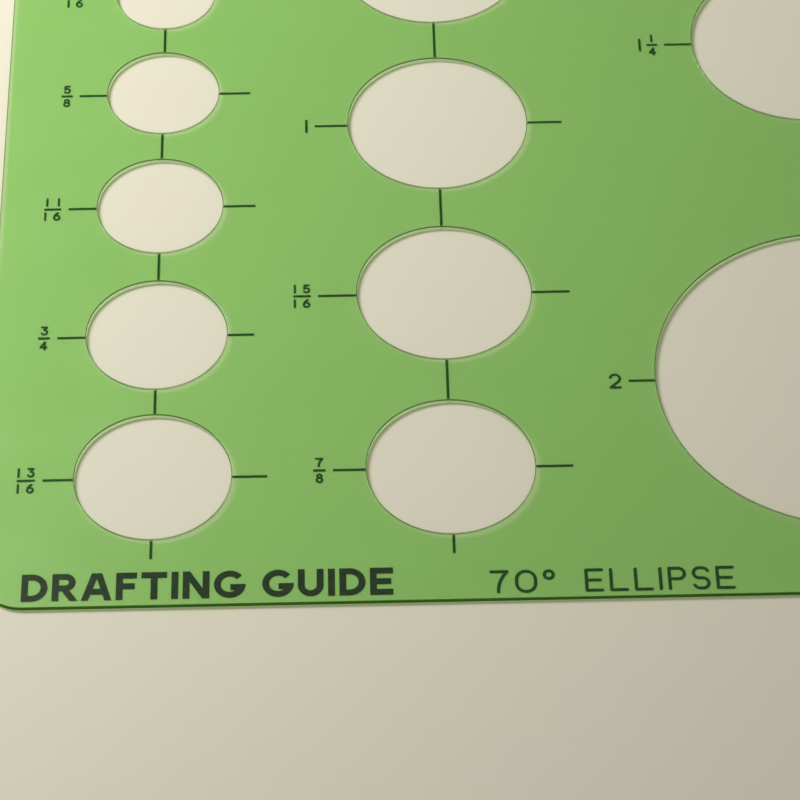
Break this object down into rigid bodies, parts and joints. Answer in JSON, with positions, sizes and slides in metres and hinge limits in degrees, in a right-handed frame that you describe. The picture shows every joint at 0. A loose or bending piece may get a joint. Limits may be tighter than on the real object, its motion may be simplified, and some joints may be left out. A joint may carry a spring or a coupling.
{
  "type": "ellipse drawing template",
  "caption": "Thin see-through plastic drawing sheet with graded elliptical openings, and centre marks, inch size figures and a lettered title stamped into its underside.",
  "frame": {"origin": "centre of the outline on the face that lies on the paper", "axes": "+X to the right and +Y up the page as the figures read from above, +Z out of the upper face"},
  "size_m": [0.218, 0.167, 0.0008],
  "materials": {
    "tinted_plastic": "satin faced green tinted see-through sheet, edges cut and slightly dulled",
    "printing_ink": "dark matte ink stamped flush into the underside and read through the sheet"
  },
  "bodies": {
    "root": {"template_sheet": "tinted_plastic", "centre_marks_13_16": "printing_ink", "size_figures_13_16": "printing_ink", "centre_marks_3_4": "printing_ink", "size_figures_3_4": "printing_ink", "centre_marks_11_16": "printing_ink", "size_figures_11_16": "printing_ink", "centre_marks_5_8": "printing_ink", "size_figures_5_8": "printing_ink", "centre_marks_9_16": "printing_ink", "size_figures_9_16": "printing_ink", "centre_marks_1_2": "printing_ink", "size_figures_1_2": "printing_ink", "centre_marks_7_16": "printing_ink", "size_figures_7_16": "printing_ink", "centre_marks_3_8": "printing_ink", "size_figures_3_8": "printing_ink", "centre_marks_7_8": "printing_ink", "size_figures_7_8": "printing_ink", "centre_marks_15_16": "printing_ink", "size_figures_15_16": "printing_ink", "centre_marks_1": "printing_ink", "size_figures_1": "printing_ink", "centre_marks_1_1_16": "printing_ink", "size_figures_1_1_16": "printing_ink", "centre_marks_1_1_8": "printing_ink", "size_figures_1_1_8": "printing_ink", "centre_marks_2": "printing_ink", "size_figures_2": "printing_ink", "centre_marks_1_1_4": "printing_ink", "size_figures_1_1_4": "printing_ink", "centre_marks_1_3_16": "printing_ink", "size_figures_1_3_16": "printing_ink", "centre_marks_1_3_4": "printing_ink", "size_figures_1_3_4": "printing_ink", "centre_marks_1_1_2": "printing_ink", "size_figures_1_1_2": "printing_ink", "centre_marks_1_3_8": "printing_ink", "size_figures_1_3_8": "printing_ink", "centre_marks_5_16": "printing_ink", "size_figures_5_16": "printing_ink", "centre_marks_1_4": "printing_ink", "size_figures_1_4": "printing_ink", "centre_marks_3_16": "printing_ink", "size_figures_3_16": "printing_ink", "centre_marks_1_8": "printing_ink", "size_figures_1_8": "printing_ink", "title_lettering": "printing_ink", "bold_legend": "printing_ink"}
  },
  "joints": []
}
